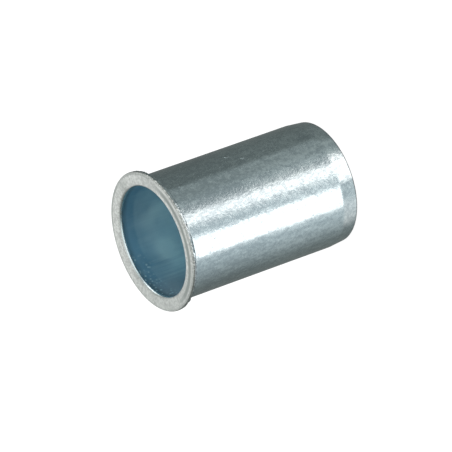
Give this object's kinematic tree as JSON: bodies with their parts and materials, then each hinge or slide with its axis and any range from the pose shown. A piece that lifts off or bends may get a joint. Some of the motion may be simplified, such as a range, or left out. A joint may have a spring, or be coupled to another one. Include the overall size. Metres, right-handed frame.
{
  "type": "blind rivet nut",
  "caption": "Cylindrical blind rivet nut with a small flat head, a smooth thin-walled folding chamber and an open threaded tail, for setting an internal thread in sheet metal from one side.",
  "frame": {"origin": "centre of the tail's end face, where the axis meets the surface that the nut stands on", "axes": "+Z along the axis, from the threaded tail up to the head's face; X and Y are any two directions square to it"},
  "size_m": [0.0122, 0.0122, 0.0175],
  "materials": {
    "zinc_plated_steel": "bright zinc plating with a thin clear blue passivate, satin on the head's face and finely mottled on the shank"
  },
  "bodies": {
    "root": {"rivet_nut": "zinc_plated_steel"}
  },
  "joints": []
}
